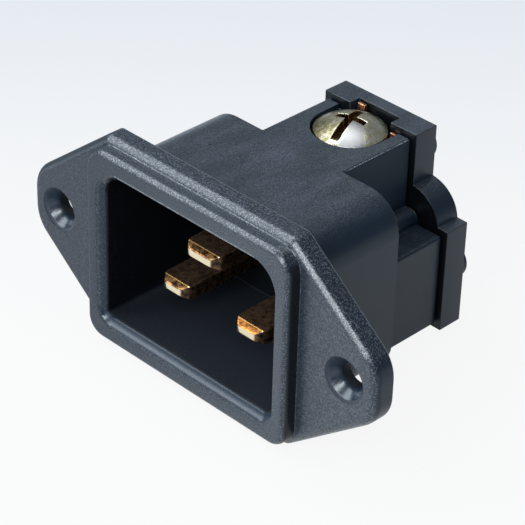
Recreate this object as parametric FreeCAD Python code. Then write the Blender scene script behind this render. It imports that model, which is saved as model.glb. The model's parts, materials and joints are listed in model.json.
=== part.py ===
import FreeCAD, Part
import math
import os
from collections import namedtuple

# Three-pole panel power inlet with blade contacts and screw terminals.
# Origin: midway between the two fixing holes, on the rear face of the flange.
# +X to the right seen from the front, +Y to the rear, +Z up. Millimetres.

# Socket
socket_w = 29.4
socket_h = 21.0
socket_depth = 18.6
socket_draft = 0.3
socket_top_r = 3.0
socket_low_r = 1.4
lead_in = 0.95
lead_in_land = 1.5

# Bezel round the mouth of the socket
bezel_side = 2.9
bezel_over = 3.35
bezel_rise = 2.0
bezel_top_r = 3.2
bezel_low_r = 2.6
bezel_edge_r = 0.8

# Flange with its two fixing ears
flange_margin = 0.9
flange_t = 3.0
flange_edge_r = 1.1
hole_pitch = 50.0
hole_d = 3.3
sink_d = 6.1
sink_depth = 1.5
ear_reach = 5.0
ear_end_z = 3.7
ear_tip_r = 5.0
ear_root_inset = 1.6
ear_root_r = 1.2

# Box behind the flange, with the socket in it
side_wall = 1.8
top_wall = 1.9
back_wall = 1.8
box_top_r = 5.1
box_low_r = 4.2
box_edge = 0.35

# Blades and their tails
blade_t = 2.0
blade_w = 5.0
blade_half_pitch = 6.5
blade_z = -4.1
blade_tip_y = -0.6
earth_w = 6.0
earth_z = 4.4
earth_tip_y = -2.3
tip_corner_x = 0.95
tip_corner_y = 1.3
tip_face_h = 1.0
tip_bevel_y = 0.9
tip_r = 1.3
tail_rise = 0.6
slot_clear = 0.05

# Terminal screws
shank_r = 2.4
run_clear = 0.06
well_clear = 0.3
earth_shank = 8.2
line_shank = 6.3
head_r = 4.75
head_rim = 1.1
head_dome = 1.7
head_gap = 0.05
drive_slot_w = 1.15
drive_slot_depth = 1.3
cross_reach = 2.3
cross_foot_reach = 1.1
cross_w = 1.05
cross_foot_w = 0.7
cross_depth = 2.0
slot_turn = 14.5

# Terminal block and the clamps in its chambers
block_len = 11.6
block_edge_r = 0.4
head_overhang = 1.45
chamber_clear = 0.2
chamber_wall = 2.05
wing_wall = 1.7
clamp_side = 0.1
clamp_t = 1.5
clamp_rear_clear = 0.25
earth_open = 3.5
line_open = 3.0
tab_w = 1.3
tab_t = 0.5
tab_rise = 1.8
lug_w = 0.95
lug_t = 0.4
lug_rise = 1.1

# Cover screws and the bosses they cut into
fix_r = 1.1
fix_clear = 0.02
fix_hole_clear = 0.15
fix_len = 12.0
fix_head_r = 2.1
fix_head_h = 1.5
fix_cross_reach = 1.2
fix_cross_foot_reach = 0.6
fix_cross_w = 0.5
fix_cross_foot_w = 0.33
fix_cross_depth = 0.9
boss_out = 0.4
boss_r = 1.8
boss_rise = 0.05
pilot_wall = 0.58

# Rear cover
cover_gap = 0.3
cover_t = 4.0
cover_lip = 0.75
cover_ear_r = 4.9
cover_edge = 0.25
spigot_inset = 0.9
spigot_boss_r = 1.5
notch_w = 6.9
notch_depth = 1.8
sleeve_w = 11.0
sleeve_h = 5.0
sleeve_len = 3.0
sleeve_wall = 1.0

# Widths and heights that follow from the ones above
bezel_w = socket_w + 2 * bezel_side
bezel_half_h = socket_h / 2 + bezel_over
flange_half_h = bezel_half_h + flange_margin
flange_half_len = hole_pitch / 2 + ear_reach
ear_root_x = bezel_w / 2 - ear_root_inset
box_w = socket_w + 2 * side_wall
box_half_h = socket_h / 2 + top_wall
tail_z = blade_t / 2 + tail_rise
tail_half_w = head_r + clamp_side
chamber_r = tail_half_w + chamber_clear
block_top_w = 2 * (chamber_r + chamber_wall)
block_low_w = 2 * (blade_half_pitch + chamber_r + wing_wall)
screw_hole_r = shank_r + run_clear
pilot_r = fix_r + fix_clear
line_well_top = blade_z - (tail_z + clamp_t - line_shank - chamber_clear)
boss_x = block_top_w / 2 + boss_out
boss_z = line_well_top + pilot_wall + pilot_r
block_low_top = boss_z - boss_rise

# Depths that follow from the ones above
flange_front = -flange_t
bezel_front = flange_front - bezel_rise
socket_floor = bezel_front + socket_depth
box_rear = socket_floor + back_wall
block_front = box_rear - back_wall / 2
block_rear = box_rear + block_len
screw_y = block_rear + head_overhang - head_r
tail_rear = block_rear - clamp_rear_clear
cover_front = block_rear + cover_gap
cover_rear = cover_front + cover_t
notch_back = cover_front + notch_depth
sleeve_rear = cover_rear + sleeve_len

# Overshoot of the cutters, and the nearness that counts as equal
over = 1.0
touch = 1e-4

Terminal = namedtuple("Terminal", "x z flipped width tip_y opening shank")
terminals = {
    "earth": Terminal(0.0, earth_z, False, earth_w, earth_tip_y, earth_open, earth_shank),
    "line": Terminal(blade_half_pitch, blade_z, True, blade_w, blade_tip_y, line_open, line_shank),
    "neutral": Terminal(-blade_half_pitch, blade_z, True, blade_w, blade_tip_y, line_open, line_shank),
}


def vec(x, y, z):
    return FreeCAD.Vector(x, y, z)


def line(a, b):
    return Part.LineSegment(a, b).toShape()


def arc(a, middle, b):
    return Part.Arc(a, middle, b).toShape()


def box(x0, x1, y0, y1, z0, z1):
    return Part.makeBox(x1 - x0, y1 - y0, z1 - z0, vec(x0, y0, z0))


def rod_y(r, x, z, y0, y1):
    return Part.makeCylinder(r, y1 - y0, vec(x, y0, z), vec(0, 1, 0))


def rod_z(r, x, y, z0, z1):
    return Part.makeCylinder(r, z1 - z0, vec(x, y, z0), vec(0, 0, 1))


def outline(corners, y):
    """Closed wire at depth y through (x, z, radius) corners, each rounded by its radius."""
    starts = []
    mids = []
    ends = []
    count = len(corners)
    for i, (x, z, r) in enumerate(corners):
        before = corners[i - 1]
        after = corners[(i + 1) % count]
        back = math.hypot(before[0] - x, before[1] - z)
        ahead = math.hypot(after[0] - x, after[1] - z)
        back_x, back_z = (before[0] - x) / back, (before[1] - z) / back
        ahead_x, ahead_z = (after[0] - x) / ahead, (after[1] - z) / ahead
        half = math.acos(back_x * ahead_x + back_z * ahead_z) / 2
        reach = r / math.tan(half)
        depth = (r / math.sin(half) - r) / math.hypot(back_x + ahead_x, back_z + ahead_z)
        starts.append(vec(x + back_x * reach, y, z + back_z * reach))
        mids.append(vec(x + (back_x + ahead_x) * depth, y, z + (back_z + ahead_z) * depth))
        ends.append(vec(x + ahead_x * reach, y, z + ahead_z * reach))
    edges = []
    for i in range(count):
        edges.append(arc(starts[i], mids[i], ends[i]))
        edges.append(line(ends[i], starts[(i + 1) % count]))
    return Part.Wire(edges)


def frame_wire(w, half_h, top_r, low_r, y):
    """Rectangle at depth y, its top and bottom corners rounded apart."""
    h = w / 2
    return outline([(-h, -half_h, low_r), (h, -half_h, low_r), (h, half_h, top_r), (-h, half_h, top_r)], y)


def slab(wire, depth):
    return Part.Face(wire).extrude(vec(0, depth, 0))


def flat_bar(w, h, z, y0, y1):
    """Bar along Y with a flat-sided, round-ended section."""
    end = h / 2
    flat = w / 2 - end
    wire = Part.Wire([
        line(vec(-flat, y0, z - end), vec(flat, y0, z - end)),
        arc(vec(flat, y0, z - end), vec(w / 2, y0, z), vec(flat, y0, z + end)),
        line(vec(flat, y0, z + end), vec(-flat, y0, z + end)),
        arc(vec(-flat, y0, z + end), vec(-w / 2, y0, z), vec(-flat, y0, z - end)),
    ])
    return slab(wire, y1 - y0)


def u_prism(r, y_centre, y_rear, z0, z1):
    """Upright prism about x = 0, round at the front and square at the rear."""
    wire = Part.Wire([
        arc(vec(-r, y_centre, z0), vec(0, y_centre - r, z0), vec(r, y_centre, z0)),
        line(vec(r, y_centre, z0), vec(r, y_rear, z0)),
        line(vec(r, y_rear, z0), vec(-r, y_rear, z0)),
        line(vec(-r, y_rear, z0), vec(-r, y_centre, z0)),
    ])
    return Part.Face(wire).extrude(vec(0, 0, z1 - z0))


def edges_at(shape, y, half_w=math.inf, half_h=math.inf):
    """Edges lying in the plane at depth y, within the given half width and half height."""
    found = []
    for edge in shape.Edges:
        b = edge.BoundBox
        flat = max(abs(b.YMin - y), abs(b.YMax - y)) < touch
        inside = max(-b.XMin, b.XMax) < half_w + touch and max(-b.ZMin, b.ZMax) < half_h + touch
        if flat and inside:
            found.append(edge)
    return found


def upright_edges(shape, y_limit):
    """Edges along Z at or in front of depth y_limit."""
    found = []
    for edge in shape.Edges:
        b = edge.BoundBox
        if b.ZLength > touch and max(b.XLength, b.YLength) < touch and b.YMax < y_limit + touch:
            found.append(edge)
    return found


def round_edge(shape, x, z, r):
    """Rounds the straight edge that runs front to rear at (x, z)."""
    found = []
    for edge in shape.Edges:
        b = edge.BoundBox
        off = max(abs(b.XMin - x), abs(b.XMax - x), abs(b.ZMin - z), abs(b.ZMax - z))
        if off < touch:
            found.append(edge)
    return shape.makeFillet(r, found)


def seat(shape, terminal):
    """Moves a piece built about x = 0, z = 0 to its terminal, turned screw side down if flipped."""
    placed = shape.copy()
    if terminal.flipped:
        placed.rotate(vec(0, 0, 0), vec(0, 1, 0), 180)
    placed.translate(vec(terminal.x, 0, terminal.z))
    return placed


def blade_and_tail(t):
    """Blade with a tapered, bevelled tip, widening to the tapped tail plate."""
    h = t.width / 2
    low = -blade_t / 2
    plan = [
        vec(-h + tip_corner_x, t.tip_y, low),
        vec(h - tip_corner_x, t.tip_y, low),
        vec(h, t.tip_y + tip_corner_y, low),
        vec(h, screw_y, low),
        vec(-h, screw_y, low),
        vec(-h, t.tip_y + tip_corner_y, low),
    ]
    blade = Part.Face(Part.makePolygon(plan + [plan[0]])).extrude(vec(0, 0, blade_t))
    blade = blade.makeFillet(tip_r, upright_edges(blade, t.tip_y + tip_corner_y))
    for side in (1, -1):
        section = [
            vec(-t.width, t.tip_y, side * tip_face_h / 2),
            vec(-t.width, t.tip_y + tip_bevel_y, side * blade_t / 2),
            vec(-t.width, t.tip_y - over, side * (blade_t / 2 + over)),
            vec(-t.width, t.tip_y - over, side * tip_face_h / 2),
        ]
        bevel = Part.Face(Part.makePolygon(section + [section[0]])).extrude(vec(2 * t.width, 0, 0))
        blade = blade.cut(bevel)
    tail = u_prism(tail_half_w, screw_y, tail_rear, low, tail_z)
    tap = rod_z(screw_hole_r, 0, screw_y, low - over, tail_z + over)
    return blade.fuse(tail).cut(tap).removeSplitter()


def clamp(t):
    """Pressure plate on the screw, with an upturned tab in the cover's notch and a lug beside the head."""
    low = tail_z + t.opening
    top = low + clamp_t
    tab_x = -notch_w / 2 + chamber_clear
    tab_end = notch_back - chamber_clear
    lug_x = tail_half_w - lug_w
    lug_end = cover_front - chamber_clear
    plate = u_prism(tail_half_w, screw_y, tail_rear, low, top)
    for x, w, end, thick, rise in ((tab_x, tab_w, tab_end, tab_t, tab_rise),
                                   (lug_x, lug_w, lug_end, lug_t, lug_rise)):
        plate = plate.fuse(box(x, x + w, screw_y, end, low, top))
        plate = plate.fuse(box(x, x + w, end - thick, end, low, top + rise))
    hole = rod_z(screw_hole_r, 0, screw_y, low - over, top + over)
    return plate.cut(hole).removeSplitter()


def cross_cut(reach, foot_reach, width, foot_width, top, depth):
    """Tapered cross recess, wide at the top and narrow at its foot."""
    arms = []
    for turn in (0, 90):
        arm = Part.makeWedge(-reach, 0, -width / 2, -foot_width / 2, -foot_reach,
                             reach, depth, width / 2, foot_width / 2, foot_reach)
        arm.rotate(vec(0, 0, 0), vec(1, 0, 0), -90)
        arm.translate(vec(0, 0, top))
        arm.rotate(vec(0, 0, 0), vec(0, 0, 1), turn)
        arms.append(arm)
    return arms[0].fuse(arms[1])


def terminal_screw(t):
    """Domed screw with a slot and a cross in its head, standing on the raised clamp."""
    under = tail_z + t.opening + clamp_t + head_gap
    apex = under + head_rim + head_dome
    ball_r = (head_r ** 2 + head_dome ** 2) / (2 * head_dome)
    ball = Part.makeSphere(ball_r, vec(0, 0, apex - ball_r), vec(1, 1, 0))
    head = rod_z(head_r, 0, 0, under, apex).common(ball)
    half_slot = drive_slot_w / 2
    slot = box(-half_slot, half_slot, -head_r - over, head_r + over, apex - drive_slot_depth, apex + over)
    cross = cross_cut(cross_reach, cross_foot_reach, cross_w, cross_foot_w, apex, cross_depth)
    shank = rod_z(shank_r, 0, 0, under - t.shank, under)
    screw = head.cut(slot).cut(cross).fuse(shank).removeSplitter()
    screw.rotate(vec(0, 0, 0), vec(0, 0, 1), slot_turn)
    screw.translate(vec(0, screw_y, 0))
    return screw


def cover_screw(x):
    """Small cheese-head screw along Y, its head on the rear of the cover."""
    head = rod_y(fix_head_r, x, boss_z, cover_rear, cover_rear + fix_head_h)
    cross = cross_cut(fix_cross_reach, fix_cross_foot_reach, fix_cross_w, fix_cross_foot_w,
                      fix_head_h, fix_cross_depth)
    cross.rotate(vec(0, 0, 0), vec(1, 0, 0), -90)
    cross.translate(vec(x, cover_rear, boss_z))
    shank = rod_y(fix_r, x, boss_z, cover_rear - fix_len, cover_rear)
    return head.cut(cross).fuse(shank).removeSplitter()


def flange():
    """Plate with two tapered ears, a countersunk hole in each."""
    corners = []
    for sx, sz in ((1, -1), (1, 1), (-1, 1), (-1, -1)):
        root = (sx * ear_root_x, sz * flange_half_h, ear_root_r)
        tip = (sx * flange_half_len, sz * ear_end_z, ear_tip_r)
        corners.extend([root, tip] if sx * sz < 0 else [tip, root])
    plate = slab(outline(corners, flange_front), flange_t)
    plate = plate.makeFillet(flange_edge_r, edges_at(plate, flange_front))
    for x in (hole_pitch / 2, -hole_pitch / 2):
        sink = Part.makeCone(sink_d / 2, hole_d / 2, sink_depth, vec(x, flange_front, 0), vec(0, 1, 0))
        plate = plate.cut(rod_y(hole_d / 2, x, 0, flange_front - over, over)).cut(sink)
    return plate


def housing():
    """Flange, bezel, socket box and terminal block in one moulding."""
    bezel = slab(frame_wire(bezel_w, bezel_half_h, bezel_top_r, bezel_low_r, bezel_front), bezel_rise + over)
    bezel = bezel.makeFillet(bezel_edge_r, edges_at(bezel, bezel_front))
    shell = slab(frame_wire(box_w, box_half_h, box_top_r, box_low_r, -over), box_rear + over)
    shell = shell.makeChamfer(box_edge, edges_at(shell, box_rear))
    tower_x = block_top_w / 2
    wing_x = block_low_w / 2
    tower = box(-tower_x, tower_x, block_front, block_rear, -box_half_h, box_half_h)
    wings = box(-wing_x, wing_x, block_front, block_rear, -box_half_h, block_low_top)
    solid = flange().fuse(bezel).fuse(shell)
    for side in (1, -1):
        tower = round_edge(tower, side * tower_x, box_half_h, block_edge_r)
        wings = round_edge(wings, side * wing_x, -box_half_h, block_edge_r)
        wings = round_edge(wings, side * wing_x, block_low_top, block_edge_r)
        solid = solid.fuse(rod_y(boss_r, side * boss_x, boss_z, block_front, block_rear))
    solid = solid.fuse(tower).fuse(wings).removeSplitter()

    front_h = socket_h / 2
    rear_h = front_h - socket_draft
    rear_w = socket_w - 2 * socket_draft
    throat_y = bezel_front + lead_in_land
    mouth = frame_wire(socket_w, front_h, socket_top_r, socket_low_r, bezel_front)
    throat = frame_wire(socket_w, front_h, socket_top_r, socket_low_r, throat_y)
    foot = frame_wire(rear_w, rear_h, socket_top_r, socket_low_r, socket_floor)
    solid = solid.cut(slab(mouth, lead_in_land)).cut(Part.makeLoft([throat, foot], True, True))
    solid = solid.makeChamfer(lead_in, edges_at(solid, bezel_front, socket_w / 2, front_h))

    for t in terminals.values():
        half = t.width / 2 + slot_clear
        half_t = blade_t / 2 + slot_clear
        well_foot = tail_z + clamp_t - t.shank - chamber_clear
        chamber = u_prism(chamber_r, screw_y, block_rear + over, -blade_t / 2, 2 * box_half_h)
        well = rod_z(shank_r + well_clear, 0, screw_y, well_foot, 0)
        slot = box(-half, half, socket_floor - over, screw_y, -half_t, half_t)
        for cutter in (chamber, well, slot):
            solid = solid.cut(seat(cutter, t))
    pilot_foot = cover_rear - fix_len - chamber_clear
    for x in (boss_x, -boss_x):
        solid = solid.cut(rod_y(pilot_r, x, boss_z, pilot_foot, block_rear + over))
    return solid.removeSplitter()


def rear_cover():
    """Plate with ears for its screws, a spigot on the block, wire sleeves and notches for the clamps."""
    top_x = block_top_w / 2
    low_x = block_low_w / 2
    rim_z = box_half_h + cover_lip
    low_top = block_low_top + cover_lip
    plate = box(-top_x - cover_lip, top_x + cover_lip, cover_front, cover_rear, -rim_z, rim_z)
    plate = plate.fuse(box(-low_x - cover_lip, low_x + cover_lip, cover_front, cover_rear, -rim_z, low_top))
    for x in (boss_x, -boss_x):
        plate = plate.fuse(rod_y(cover_ear_r, x, boss_z, cover_front, cover_rear))
    plate = plate.removeSplitter()
    plate = plate.makeChamfer(cover_edge, edges_at(plate, cover_rear))

    foot_z = box_half_h - spigot_inset
    step_z = block_low_top - spigot_inset
    in_x = top_x - spigot_inset
    wide_x = low_x - spigot_inset
    spigot = box(-in_x, in_x, block_rear, cover_front + over, -foot_z, foot_z)
    spigot = spigot.fuse(box(-wide_x, wide_x, block_rear, cover_front + over, -foot_z, step_z))
    for x in (boss_x, -boss_x):
        spigot = spigot.fuse(rod_y(spigot_boss_r, x, boss_z, block_rear, cover_front + over))
    plate = plate.fuse(spigot)

    for t in terminals.values():
        sleeve = flat_bar(sleeve_w, sleeve_h, tail_z + t.opening / 2, cover_rear - over, sleeve_rear)
        plate = plate.fuse(seat(sleeve, t))
    start = block_rear - over
    beyond = 2 * box_half_h
    for t in terminals.values():
        entry = flat_bar(sleeve_w - 2 * sleeve_wall, sleeve_h - 2 * sleeve_wall, tail_z + t.opening / 2,
                         start, sleeve_rear + over)
        notch = box(-notch_w / 2, notch_w / 2, start, notch_back, tail_z - chamber_clear, beyond)
        opening = box(-chamber_r, chamber_r, start, cover_front, tail_z - chamber_clear, beyond)
        for cutter in (entry, notch, opening):
            plate = plate.cut(seat(cutter, t))
    for x in (boss_x, -boss_x):
        plate = plate.cut(rod_y(fix_r + fix_hole_clear, x, boss_z, start, cover_rear + over))
    return plate.removeSplitter()


pieces = {
    "housing": housing(),
    "rear_cover": rear_cover(),
    "cover_screw_left": cover_screw(-boss_x),
    "cover_screw_right": cover_screw(boss_x),
}
for name, terminal in terminals.items():
    pieces[name + "_pin"] = seat(blade_and_tail(terminal), terminal)
    pieces[name + "_clamp"] = seat(clamp(terminal), terminal)
    pieces[name + "_screw"] = seat(terminal_screw(terminal), terminal)

os.makedirs("parts", exist_ok=True)
for name, shape in pieces.items():
    solid = shape.Solids[0] if len(shape.Solids) == 1 else shape
    solid.exportStep("parts/" + name + ".step")
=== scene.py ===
import json
import math

import bmesh
import bpy
from mathutils import Matrix, Vector


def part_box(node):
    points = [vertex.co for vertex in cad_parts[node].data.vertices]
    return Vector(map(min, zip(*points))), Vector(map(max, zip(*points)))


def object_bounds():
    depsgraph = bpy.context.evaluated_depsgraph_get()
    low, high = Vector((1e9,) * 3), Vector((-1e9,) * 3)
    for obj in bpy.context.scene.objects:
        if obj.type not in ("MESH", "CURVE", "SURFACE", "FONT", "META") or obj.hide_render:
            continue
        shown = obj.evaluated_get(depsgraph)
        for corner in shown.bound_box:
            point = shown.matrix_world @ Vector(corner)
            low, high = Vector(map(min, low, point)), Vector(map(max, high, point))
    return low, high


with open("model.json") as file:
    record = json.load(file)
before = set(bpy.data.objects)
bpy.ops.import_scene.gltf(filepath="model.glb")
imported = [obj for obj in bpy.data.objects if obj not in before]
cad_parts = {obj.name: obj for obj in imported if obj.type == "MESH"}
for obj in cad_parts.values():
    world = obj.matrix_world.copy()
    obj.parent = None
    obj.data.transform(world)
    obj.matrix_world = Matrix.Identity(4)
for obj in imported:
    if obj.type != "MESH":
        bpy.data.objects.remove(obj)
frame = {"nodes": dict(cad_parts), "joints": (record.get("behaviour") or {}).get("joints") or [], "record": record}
cad_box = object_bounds()


# Housing: the flange with its ears, the raised bezel, the socket and the terminal block, in one moulding.
# Black thermoplastic: coarse grain in front of the panel, fine grain behind it, and smooth sides, socket and
# countersinks. The mould leaves its outer edges broken by about a tenth of a millimetre.
# Pale highlight lines are painted along the flange's rear edge, the socket's top edge and the block's top edges.
# Shade is painted on the upright sides, in the socket, the holes' bores and the gap behind the block, on the
# bezel's right side and on faces that look left.

skin = 0.0001
bezel_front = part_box("housing")[0].y
block_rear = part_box("housing")[1].y
flange_front = -0.003
bezel_half_w = 0.0176
bezel_edge_r = 0.0008
mouth_half_w = 0.0157
mouth_top = 0.01148
mouth_top_half_w = 0.012
lip_low = -0.0126
lip_high = -0.0098
lead_in_front = bezel_front + 0.00008
lead_in_end = bezel_front + 0.0009
socket_half_w = 0.01475
socket_half_h = 0.0106
socket_end = 0.0141
hole_x = frame["record"]["mounts"][0]["dims"]["spacing_x_mm"] / 2000
sink_r = 0.0031
sink_end = flange_front + 0.0016
tower_half_w = 0.0070
tower_front = 0.0155
tower_foot = 0.003
tower_top = 0.0123

grain_dark = (0.008, 0.013, 0.021, 1)
grain_pale = (0.118, 0.140, 0.178, 1)
# Painted shade: the upright sides are painted darker than the grained faces; the other smooth faces share this
# colour.
smooth_and_side_shade_black = (0.008, 0.017, 0.031, 1)
# Painted shade: the socket's lower wall, on which light falls, takes the next colour. The rest of the socket, the
# holes' bores, the gap behind the block and the bezel's right side take the near black one after it.
lower_wall_black = (0.016, 0.020, 0.027, 1)
painted_shade_black = (0.003, 0.004, 0.006, 1)
# Painted highlight: a pale band along the flange's rear edge.
highlight_band_grey = (0.16, 0.18, 0.20, 1)
# Painted highlight: pale lines along the socket's top edge and the block's top edges.
highlight_line_grey = (0.40, 0.44, 0.50, 1)


class Wire:
    """One output of a material's nodes. Arithmetic on it adds Math nodes to the same material."""

    def __init__(self, tree, socket=None):
        self.tree = tree
        self.socket = socket

    def node(self, kind, settings=None, inputs=None, out=0):
        """Adds a node, with its settings first and then the values or links of its sockets."""
        made = self.tree.nodes.new(kind)
        for key, value in (settings or {}).items():
            setattr(made, key, value)
        for key, value in (inputs or {}).items():
            if isinstance(value, Wire):
                self.tree.links.new(value.socket, made.inputs[key])
            else:
                made.inputs[key].default_value = value
        return Wire(self.tree, made.outputs[out] if made.outputs else None)

    def math(self, operation, *values):
        """Adds a Math node."""
        return self.node("ShaderNodeMath", {"operation": operation}, dict(enumerate(values)))

    def __add__(self, other):
        return self.math("ADD", self, other)

    __radd__ = __add__

    def __mul__(self, other):
        return self.math("MULTIPLY", self, other)

    __rmul__ = __mul__

    def __sub__(self, other):
        return self.math("SUBTRACT", self, other)

    def __rsub__(self, other):
        return self.math("SUBTRACT", other, self)


def fade(value, start, end):
    """0 at start, 1 at end, smooth between, in either direction."""
    return value.node("ShaderNodeMapRange", {"interpolation_type": "SMOOTHSTEP"},
                      {"Value": value, "From Min": start, "From Max": end})


def below(value, high):
    """1 below high, 0 above."""
    return value.math("LESS_THAN", value, high)


def between(value, low, high):
    """1 between low and high, 0 outside."""
    return value.math("GREATER_THAN", value, low) * below(value, high)


def unsigned(value):
    """The value without its sign."""
    return value.math("ABSOLUTE", value)


def split(vector):
    """The three parts of a vector."""
    parts = vector.node("ShaderNodeSeparateXYZ", None, {0: vector}).socket.node.outputs
    return [Wire(vector.tree, part) for part in parts]


def facing_of(place):
    """How far a face looks to the right, to the back and up."""
    return split(Wire(place.tree, place.socket.node.outputs["Normal"]))


def tint(factor, first, second):
    """Colour that goes from first to second with factor."""
    return factor.node("ShaderNodeMix", {"data_type": "RGBA"}, {0: factor, 6: first, 7: second}, out=2)


def noise(place, scale, detail, stretch=None):
    """Soft random pattern, with as many lumps to the metre as scale, drawn out where stretch is under 1."""
    if stretch:
        place = place.node("ShaderNodeMapping", None, {"Vector": place, "Scale": stretch})
    return place.node("ShaderNodeTexNoise", None,
                      {"Vector": place, "Scale": scale, "Detail": detail, "Roughness": 0.6}, out="Fac")


def bump(height, distance):
    """Surface relief of the given depth in metres."""
    return height.node("ShaderNodeBump", None, {"Height": height, "Distance": distance})


def new_material(name):
    """Empty material with its shader and the piece's own coordinates."""
    made = bpy.data.materials.new(name)
    made.use_nodes = True
    shader = made.node_tree.nodes["Principled BSDF"]
    place = Wire(made.node_tree).node("ShaderNodeTexCoord", out="Object")
    return made, shader, place


def join(shader, **sockets):
    """Links or sets the shader's sockets, named in words joined by underscores."""
    for name, value in sockets.items():
        socket = shader.inputs[name.replace("_", " ")]
        if isinstance(value, Wire):
            value.tree.links.new(value.socket, socket)
        else:
            socket.default_value = value


def dress(node, material):
    """Puts a material on a piece."""
    for slot in frame["nodes"][node].material_slots:
        slot.material = material


def break_edges(node, width, segments=2, crisp=True):
    """Rounds a moulded or stamped piece's sharp edges, with the flat faces kept flat."""
    piece = frame["nodes"][node]
    weld = piece.modifiers.new("join_faces", "WELD")
    weld.merge_threshold = 1e-6
    flat = piece.modifiers.new("merge_flats", "DECIMATE")
    flat.decimate_type = "DISSOLVE"
    flat.angle_limit = math.radians(0.5)
    soft = piece.modifiers.new("broken_edges", "BEVEL")
    soft.limit_method = "ANGLE"
    soft.angle_limit = math.radians(50)
    soft.width = width
    soft.segments = segments
    soft.use_clamp_overlap = False
    soft.loop_slide = False
    clean = piece.modifiers.new("merge_slivers", "WELD")
    clean.merge_threshold = 1e-7
    shade = piece.modifiers.new("flat_faces", "WEIGHTED_NORMAL")
    shade.keep_sharp = crisp
    shade.weight = 100


def hole_masks(y, z, wide, up):
    """Fixing holes: the whole hole, its countersink, the countersink's upward half, and its bore."""
    off = wide - hole_x
    hole = below(off * off + z * z, sink_r ** 2)
    sink = hole * between(y, flange_front + 0.00002, sink_end)
    bore = hole * between(y, sink_end, 0.001)
    return hole, sink, sink * fade(up, -0.2, 0.3), bore


def mouth_masks(x, y, z, wide, right):
    """Lead-in of the socket: its lower lip, that lip's outer half, its left side, and a painted highlight line
    along its top edge.
    """
    lead_in = between(y, lead_in_front, lead_in_end)
    lip = below(wide, mouth_half_w + skin) * between(z, lip_low, lip_high) * lead_in
    brow = lip * fade(y, bezel_front + 0.0008, bezel_front + 0.0002)
    cheek = between(x, -mouth_half_w, -socket_half_w + 0.00015) * lead_in * fade(right, 0.3, 0.5)
    line = between(z, mouth_top - skin, mouth_top + skin) * below(wide, mouth_top_half_w)
    line = line * below(y, bezel_front + skin)
    return lip, brow, cheek, line


def tower_masks(y, z, wide):
    """Upper part of the terminal block: its upright sides, and a painted highlight line along its top edges."""
    sides = between(wide, tower_half_w - 0.0002, tower_half_w + 0.00022)
    sides = sides * fade(z, tower_foot, tower_foot + 0.001) * between(y, tower_front, block_rear)
    tower_highlight = between(wide, tower_half_w - skin, tower_half_w + 0.00012)
    tower_highlight = tower_highlight * fade(z, tower_top - 0.00005, tower_top + 0.00002)
    tower_highlight = tower_highlight * between(y, tower_front + 2 * skin, block_rear)
    return sides, tower_highlight


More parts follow.
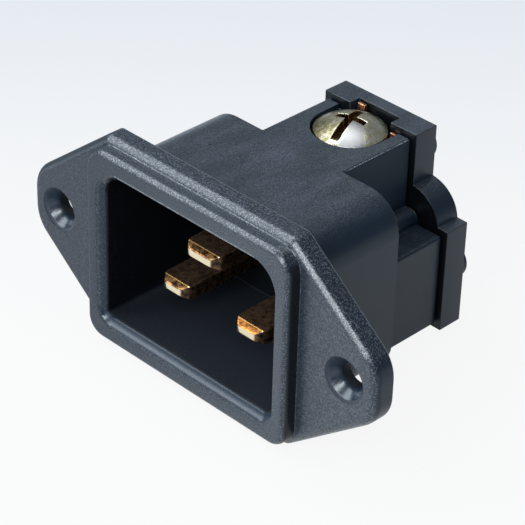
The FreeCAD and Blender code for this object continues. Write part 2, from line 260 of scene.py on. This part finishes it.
def moulded_black(name):
    """Black plastic: coarse grain in front of the panel, fine grain behind it, smooth sides and hollows, with
    painted shade and painted highlight lines.
    """
    made, shader, place = new_material(name)
    x, y, z = split(place)
    right, back, up = facing_of(place)
    wide = unsigned(x)
    coarse = noise(place, 5200, 2)
    fine = noise(place, 7000, 2)
    flow = noise(place, 420, 4, (1, 0.3, 1))

    front = fade(y, 0.0003, -0.0003)
    level = fade(back, -0.90, -0.99)
    side = fade(unsigned(right), 0.66, 0.95) * front + fade(unsigned(right), 0.20, 0.85) * (1 - front)
    hole, sink, lit, bore = hole_masks(y, z, wide, up)
    lip, brow, cheek, mouth_highlight = mouth_masks(x, y, z, wide, right)
    tower, tower_highlight = tower_masks(y, z, wide)
    socket = between(y, lead_in_end, socket_end)
    socket = socket * below(wide, socket_half_w) * below(unsigned(z), socket_half_h)
    lower_wall = socket * fade(up, 0.4, 0.8)
    # Painted shade: the front faces in the gap between the block and the rear cover.
    gap_shade = fade(y, block_rear - 0.0002, block_rear) * fade(back, -0.5, -0.9)
    # Painted shade: the bezel's right side.
    bezel_side = between(x, bezel_half_w - bezel_edge_r, bezel_half_w + skin)
    bezel_side = bezel_side * fade(right, 0.75, 0.95) * front
    left = fade(right, -0.15, -0.45) * front * (1 - hole)
    polish = fade(right, 0.25, 0.45) * fade(up, 0.2, 0.4) * front * (1 - hole)
    # Painted highlight: a pale band along the flange's rear edge.
    flange_edge_highlight = between(y, -0.00014, 0.00002) * (1 - fade(back, 0.3, 0.6)) * (1 - hole) * (1 - socket)
    # Painted shade, near black: the socket except its lower wall, the gap behind the block, the bores and the
    # bezel's right side.
    painted_shade = socket - lower_wall + gap_shade + bore + bezel_side
    smooth = side.math("MAXIMUM", side, socket)
    smooth = side.math("MAXIMUM", smooth, sink + bore + gap_shade + lip + 0.75 * cheek)

    speckle = fade(coarse, 0.50, 0.70) * front + 0.56 * fade(fine + 0.35 * flow, 0.64, 0.84) * (1 - front)
    # Painted shade: faces that look left are painted darker.
    speckle = (speckle * (1 - 0.65 * level) + 0.11 * level) * (1 - 0.85 * left)
    # Painted shade on the smooth faces, in the socket and at the other places above.
    plain = tint(painted_shade, tint(lower_wall, smooth_and_side_shade_black, lower_wall_black), painted_shade_black)
    colour = tint(flange_edge_highlight, tint(smooth, tint(speckle, grain_dark, grain_pale), plain), highlight_band_grey)
    # Painted highlight lines along the socket's top edge and the block's top edges.
    highlight_lines = (0.8 * mouth_highlight + tower_highlight) * fade(fine, 0.40, 0.60)
    glossy = lit + brow + polish
    matt = sink - lit + lip - brow + left + bore + tower
    sheen = 0.45 + 0.9 * fade(coarse, 0.36, 0.62)
    ear_gloss = 1 - level * (0.96 - 0.92 * fade(x, -0.020, 0.024))
    height = (coarse * (0.5 + 0.9 * front) + 0.4 * fine) * (1 - 0.8 * smooth) * (1 - 0.6 * polish)
    join(shader,
         Base_Color=tint(highlight_lines, colour, highlight_line_grey),
         Roughness=(0.32 - 0.12 * glossy + 0.30 * matt
                    + 0.30 * (coarse - 0.5) * front + 0.16 * (flow - 0.5)),
         Normal=bump(height, 0.55e-4),
         Specular_Tint=(0.78, 0.915, 1, 1),
         IOR=1.45,
         Coat_Weight=sheen * ear_gloss * (1 - smooth) * (1 - left) + lit + brow,
         Coat_Roughness=0.3,
         Coat_Tint=(0.9, 0.96, 1, 1))
    return made


housing_black = moulded_black("moulded_black")
dress("housing", housing_black)
break_edges("housing", width=0.00011, crisp=False)


# Rear cover: a separate plate behind the terminal block, with a wire sleeve and a notch behind each terminal.
# Moulded of the same black plastic as the housing, and held to the block by the two cover screws.

dress("rear_cover", housing_black)
break_edges("rear_cover", width=0.0001, crisp=False)


# Blades: three flat brass bars in slots of the housing, each in one piece with the tapped plate at its rear.
# Stamped and polished, with bevelled tips. The tips are worn bright, and the flats behind them are
# tarnished brown. The sides are painted near black, with tarnish and painted shade, and a gold highlight
# line is painted behind each tip's bevel.

poles = ("earth", "line", "neutral")
brown = ((0.05, 0.024, 0.012, 1), (0.42, 0.21, 0.07, 1))
ruddy = ((0.22, 0.080, 0.020, 1), (0.74, 0.30, 0.065, 1))
bevel_tarnish = {"earth": brown, "line": ruddy, "neutral": brown}
flat_tarnish = ((0.085, 0.055, 0.037, 1), (0.27, 0.17, 0.11, 1))
# Tarnish and painted shade on the sideways faces.
side_tarnish_and_shade = ((0.01, 0.006, 0.004, 1), (0.14, 0.085, 0.045, 1))
# Painted highlight: a gold line behind each tip's bevel.
rim_highlight_gold = (0.90, 0.55, 0.20, 1)
tip_gold = (1.0, 0.88, 0.62, 1)
bevel_end = 0.00080
rim_width = 0.00015


def polished_brass(name, tip_y, tarnish):
    """Brass that is worn pale on the tip and tarnished behind it, with a painted highlight line behind the bevel
    and tarnish and painted shade on the sides.
    """
    made, shader, place = new_material(name)
    right, back, up = facing_of(place)
    behind = split(place)[1] - tip_y
    drawn = noise(place, 2600, 3, (1, 0.06, 1))
    worn = noise(place, 1500, 3)
    tip = fade(back, -0.86, -0.97)
    # Painted highlight: a thin gold line on the top, just behind the bevel.
    rim_highlight = between(behind, bevel_end, bevel_end + rim_width) * fade(up, 0.4, 0.6)
    bevel = tint(fade(worn, 0.36, 0.66), *tarnish)
    flat = tint(fade(worn, 0.30, 0.72), *flat_tarnish)
    # The sideways faces are painted near black: tarnish and painted shade.
    corner = tint(fade(worn, 0.30, 0.70), *side_tarnish_and_shade)
    upper = tint(fade(up, 0.88, 0.97), bevel, flat)
    body = tint(rim_highlight, tint(fade(unsigned(right), 0.25, 0.45), upper, corner), rim_highlight_gold)
    join(shader,
         Base_Color=tint(tip, body, tip_gold),
         Metallic=0.8 + 0.2 * tip,
         Roughness=0.28 - 0.12 * tip + 0.10 * (drawn - 0.5) + 0.10 * (worn - 0.5),
         Normal=bump(drawn + 0.5 * worn, 0.4e-5))
    return made


for pole in poles:
    tip_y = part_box(pole + "_pin")[0].y
    dress(pole + "_pin", polished_brass("polished_brass_" + pole, tip_y, bevel_tarnish[pole]))
    break_edges(pole + "_pin", width=0.00018, segments=3)


# Clamps: plates under the heads of the terminal screws, which press the wire on the blade's tapped plate.
# Stamped of reddish brass sheet, with an upturned tab at the rear that keeps the plate from turning.

copper_bright = (0.66, 0.36, 0.21, 1)
copper_dull = (0.28, 0.12, 0.06, 1)


def stamped_copper(name):
    """Reddish brass sheet, dull brown in patches."""
    made, shader, place = new_material(name)
    rolled = noise(place, 2200, 3, (0.08, 1, 1))
    dull = noise(place, 2800, 3)
    join(shader,
         Base_Color=tint(fade(dull, 0.36, 0.66), copper_bright, copper_dull),
         Metallic=1.0,
         Roughness=0.40 + 0.12 * (rolled - 0.5) + 0.16 * (dull - 0.5),
         Normal=bump(rolled + dull, 1.2e-5))
    return made


copper = stamped_copper("stamped_copper")
for pole in poles:
    dress(pole + "_clamp", copper)
    break_edges(pole + "_clamp", width=0.0001)


# Terminal screws: one to each blade, with a slot and a cross in a large domed head, screwed into the blade's
# tapped plate. Cold-headed steel, nickel plated, with a mottled yellowish film and brown grime in the slot,
# where shade is painted as well. Beside the slot the dome has painted shade on the left and a painted
# highlight on the right.

head_r = 0.00475
dome_h = 0.0017
dome_r = (head_r ** 2 + dome_h ** 2) / (2 * dome_h)
dome_top = {"earth": 0.01385, "line": -0.01305, "neutral": -0.01305}
slot_depth = 0.0021
slot_turn = math.radians(14.5)
wedge_turn = math.radians(44.3)

nickel_pale = (0.84, 0.84, 0.81, 1)
# Painted highlight: the bluish tone of the wedge beside the slot.
nickel_highlight = (0.46, 0.47, 0.50, 1)
film_yellow = (0.64, 0.59, 0.37, 1)
# Painted shade: the darker copy of the plating, in front of the slot and left of it.
shaded_nickel = (0.36, 0.34, 0.27, 1)
shaded_film = (0.17, 0.155, 0.075, 1)
# Painted shade and grime: the dark colour in the slot.
slot_dirt_and_shade_dark = (0.06, 0.04, 0.02, 1)
dirt_brown = (0.42, 0.25, 0.09, 1)


def along(place, direction):
    """Distance from the origin along a direction."""
    return place.node("ShaderNodeVectorMath", {"operation": "DOT_PRODUCT"},
                      {0: place, 1: direction}, out="Value")


def sideways(place, axis, turn):
    """Distance from a screw's axis, across a line that is turned by the given angle."""
    direction = Vector((math.cos(turn), math.sin(turn), 0))
    return along(place, direction) - direction.dot(axis)


def plated_nickel(name, axis, top, up):
    """Nickel with a mottled yellow film, a painted highlight wedge kept free of film and painted shade beside the
    slot, and brown grime with painted shade in the slot.
    """
    made, shader, place = new_material(name)
    _, y, z = split(place)
    middle = (axis.x, axis.y, top - up * dome_r)
    out = place.node("ShaderNodeVectorMath", {"operation": "DISTANCE"}, {0: place, 1: middle}, out="Value")
    slot = fade(out, dome_r - 0.00007, dome_r - 0.00027)
    slot = slot * fade(up * (z - top), -slot_depth - 0.0003, -slot_depth)
    beside = sideways(place, axis, slot_turn)
    # Painted shade: left of the slot and in front of it, the dome is a darker copy of the plating.
    dome_shade = fade(beside, -0.0003, -0.0010) * fade(y - axis.y, -0.0010, -0.0025)
    # Painted highlight: a wedge right of the slot and in front, bounded by a line turned by the camera's azimuth,
    # kept free of film and given its own bluish tone.
    clean = fade(beside, 0.0004, 0.0009) * fade(y - axis.y, 0.0002, -0.0006)
    clean = clean * fade(sideways(place, axis, wedge_turn), 0.0020, 0.0014)
    mottle = noise(place, 1500, 3)
    fine = noise(place, 5200, 2)
    film = fade(mottle + 0.8 * (fine - 0.5), 0.32, 0.57) * (1 - 0.85 * clean)
    plating = tint(film, tint(clean, nickel_pale, nickel_highlight), film_yellow)
    plating = tint(dome_shade, plating, tint(film, shaded_nickel, shaded_film))
    # The slot is painted dark: brown grime and painted shade.
    slot_dirt_and_shade = tint(fade(fine, 0.40, 0.64), slot_dirt_and_shade_dark, dirt_brown)
    join(shader,
         Base_Color=tint(slot, plating, slot_dirt_and_shade),
         Metallic=1.0,
         Roughness=0.25 + 0.15 * dome_shade + 0.15 * clean + 0.16 * (fine - 0.5),
         Normal=bump(fine, 0.8e-5))
    return made


turns = {joint["name"]: joint for joint in frame["joints"]}
for pole in poles:
    turn = turns[pole + "_screw_turn"]
    axis = Vector((turn["pos_m"][0], turn["pos_m"][1], 0))
    nickel = plated_nickel("plated_nickel_" + pole, axis, dome_top[pole], -turn["axis"][2])
    dress(pole + "_screw", nickel)
    break_edges(pole + "_screw", width=0.00005)


# Cover screws: two small screws with cross recesses, in the bosses beside the terminal block.
# Zinc-plated steel. They go through the rear cover and hold it to the housing.

zinc_pale = (0.62, 0.63, 0.65, 1)
zinc_dark = (0.48, 0.50, 0.53, 1)


def zinc_steel(name):
    """Zinc plating with a faint uneven grain."""
    made, shader, place = new_material(name)
    grain = noise(place, 2400, 3)
    join(shader,
         Base_Color=tint(grain, zinc_pale, zinc_dark),
         Metallic=1.0,
         Roughness=0.30 + 0.12 * (grain - 0.5),
         Normal=bump(grain, 4e-6))
    return made


zinc = zinc_steel("zinc_steel")
for hand in ("left", "right"):
    dress("cover_screw_" + hand, zinc)
    break_edges("cover_screw_" + hand, width=0.0001)


# Floor: a plain sheet of white paper that the inlet stands on, with the inlet's soft shadow.
# It looks white to the camera, and a little bluer and darker towards the rear, a painted falloff of the light.

floor_half = 3.0
rear_direction = (-0.70, 0.71, 0)
rear_fade = 0.16
paper_white = (1, 1, 1, 1)
paper_rear = (0.74, 0.80, 0.88, 1)
paper_shade = (0.42, 0.44, 0.46, 1)

floor_mesh = bpy.data.meshes.new("floor")
work = bmesh.new()
bmesh.ops.create_grid(work, x_segments=1, y_segments=1, size=floor_half)
bmesh.ops.translate(work, verts=work.verts, vec=(0, 0, cad_box[0].z))
work.to_mesh(floor_mesh)
work.free()
scene = bpy.context.scene
floor = bpy.data.objects.new("floor", floor_mesh)
scene.collection.objects.link(floor)


def seen_white(start, straight, mirrored):
    """Share of plain white that a ray sees: straight from the camera, or in gloss and through glass."""
    camera_ray = start.node("ShaderNodeLightPath", out="Is Camera Ray")
    glossy = Wire(start.tree, camera_ray.socket.node.outputs["Is Glossy Ray"])
    through = Wire(start.tree, camera_ray.socket.node.outputs["Is Transmission Ray"])
    return camera_ray * straight + start.math("MINIMUM", glossy + through, 1.0) * mirrored


paper = bpy.data.materials.new("white_paper")
paper.use_nodes = True
paper.node_tree.nodes.clear()
start = Wire(paper.node_tree)
rear = along(start.node("ShaderNodeTexCoord", out="Object"), rear_direction)
# Painted falloff of the light: bluer and darker towards the rear.
hue = tint(fade(rear, 0.0, rear_fade), paper_white, paper_rear)
sheet = start.node("ShaderNodeBsdfDiffuse", None, {"Color": paper_shade})
glow = start.node("ShaderNodeEmission", None, {"Color": hue, "Strength": 1.0})
seen = seen_white(start, straight=0.9, mirrored=0.5)
mixed = start.node("ShaderNodeMixShader", None, {0: seen, 1: sheet, 2: glow})
start.node("ShaderNodeOutputMaterial", None, {"Surface": mixed})
floor_mesh.materials.append(paper)


# Studio: a dim bluish room with four soft boxes that face the inlet.
# A large one stands high at the left, a narrow one close above the front, one hangs overhead, and a weak one
# stands behind.

room_dim = (0.55, 0.62, 0.72, 1)
room_white = (0.78, 0.84, 0.90, 1)

world = bpy.data.worlds.new("studio")
world.use_nodes = True
world.node_tree.nodes.clear()
scene.world = world
start = Wire(world.node_tree)
dim = start.node("ShaderNodeBackground", None, {"Color": room_dim, "Strength": 0.15})
white = start.node("ShaderNodeBackground", None, {"Color": room_white, "Strength": 1.0})
seen = seen_white(start, straight=1.0, mirrored=0.15)
mixed = start.node("ShaderNodeMixShader", None, {0: seen, 1: dim, 2: white})
start.node("ShaderNodeOutputWorld", None, {"Surface": mixed})


def soft_box(name, place, long_way, length, width, watts, colour=(1, 1, 1)):
    """Rectangular lamp that faces the inlet, its length about along the given direction."""
    lamp = bpy.data.lights.new(name, "AREA")
    lamp.shape = "RECTANGLE"
    lamp.size = length
    lamp.size_y = width
    lamp.energy = watts
    lamp.color = colour
    made = bpy.data.objects.new(name, lamp)
    away = Vector(place).normalized()
    across = (Vector(long_way) - away * away.dot(Vector(long_way))).normalized()
    turn = Matrix((across, away.cross(across), away)).transposed()
    made.matrix_world = Matrix.Translation(place) @ turn.to_4x4()
    scene.collection.objects.link(made)


soft_box("left_strip", (-0.608, -0.456, 0.712), (0, -0.843, -0.538),
         length=1.63, width=0.67, watts=15.4, colour=(0.93, 0.96, 1))
soft_box("key_strip", (0.094, -0.264, 0.179), (0.496, 0.602, 0.628), length=0.38, width=0.10, watts=1.06)
soft_box("over_box", (-0.02, 0.09, 0.60), (1, 0, 0), length=0.33, width=0.33, watts=0.8)
soft_box("rear_box", (-0.46, 0.50, 0.46), (1, 1, 0), length=0.6, width=0.6, watts=0.1)


# Camera: a long lens on a full-frame camera, close above the front right corner of the inlet.
# It looks down at about 33 degrees, and is rolled by less than two.

azimuth = math.radians(44.3204)
elevation = math.radians(33.3444)
roll = math.radians(1.7140)
distance = 0.285931
target = Vector((-0.000764, 0.009502, -0.001906))
back = Vector((math.sin(azimuth) * math.cos(elevation), -math.cos(azimuth) * math.cos(elevation),
               math.sin(elevation)))
right = Vector((math.cos(azimuth), math.sin(azimuth), 0))
up = back.cross(right)
across = math.cos(roll) * right + math.sin(roll) * up
upward = math.cos(roll) * up - math.sin(roll) * right

lens = bpy.data.cameras.new("camera")
lens.lens = 157.057
lens.sensor_width = 36
lens.clip_start = 0.01
lens.clip_end = 50
camera = bpy.data.objects.new("camera", lens)
camera_turn = Matrix((across, upward, back)).transposed()
camera.matrix_world = Matrix.Translation(target + back * distance) @ camera_turn.to_4x4()
scene.collection.objects.link(camera)
scene.camera = camera
scene.view_settings.view_transform = "Standard"
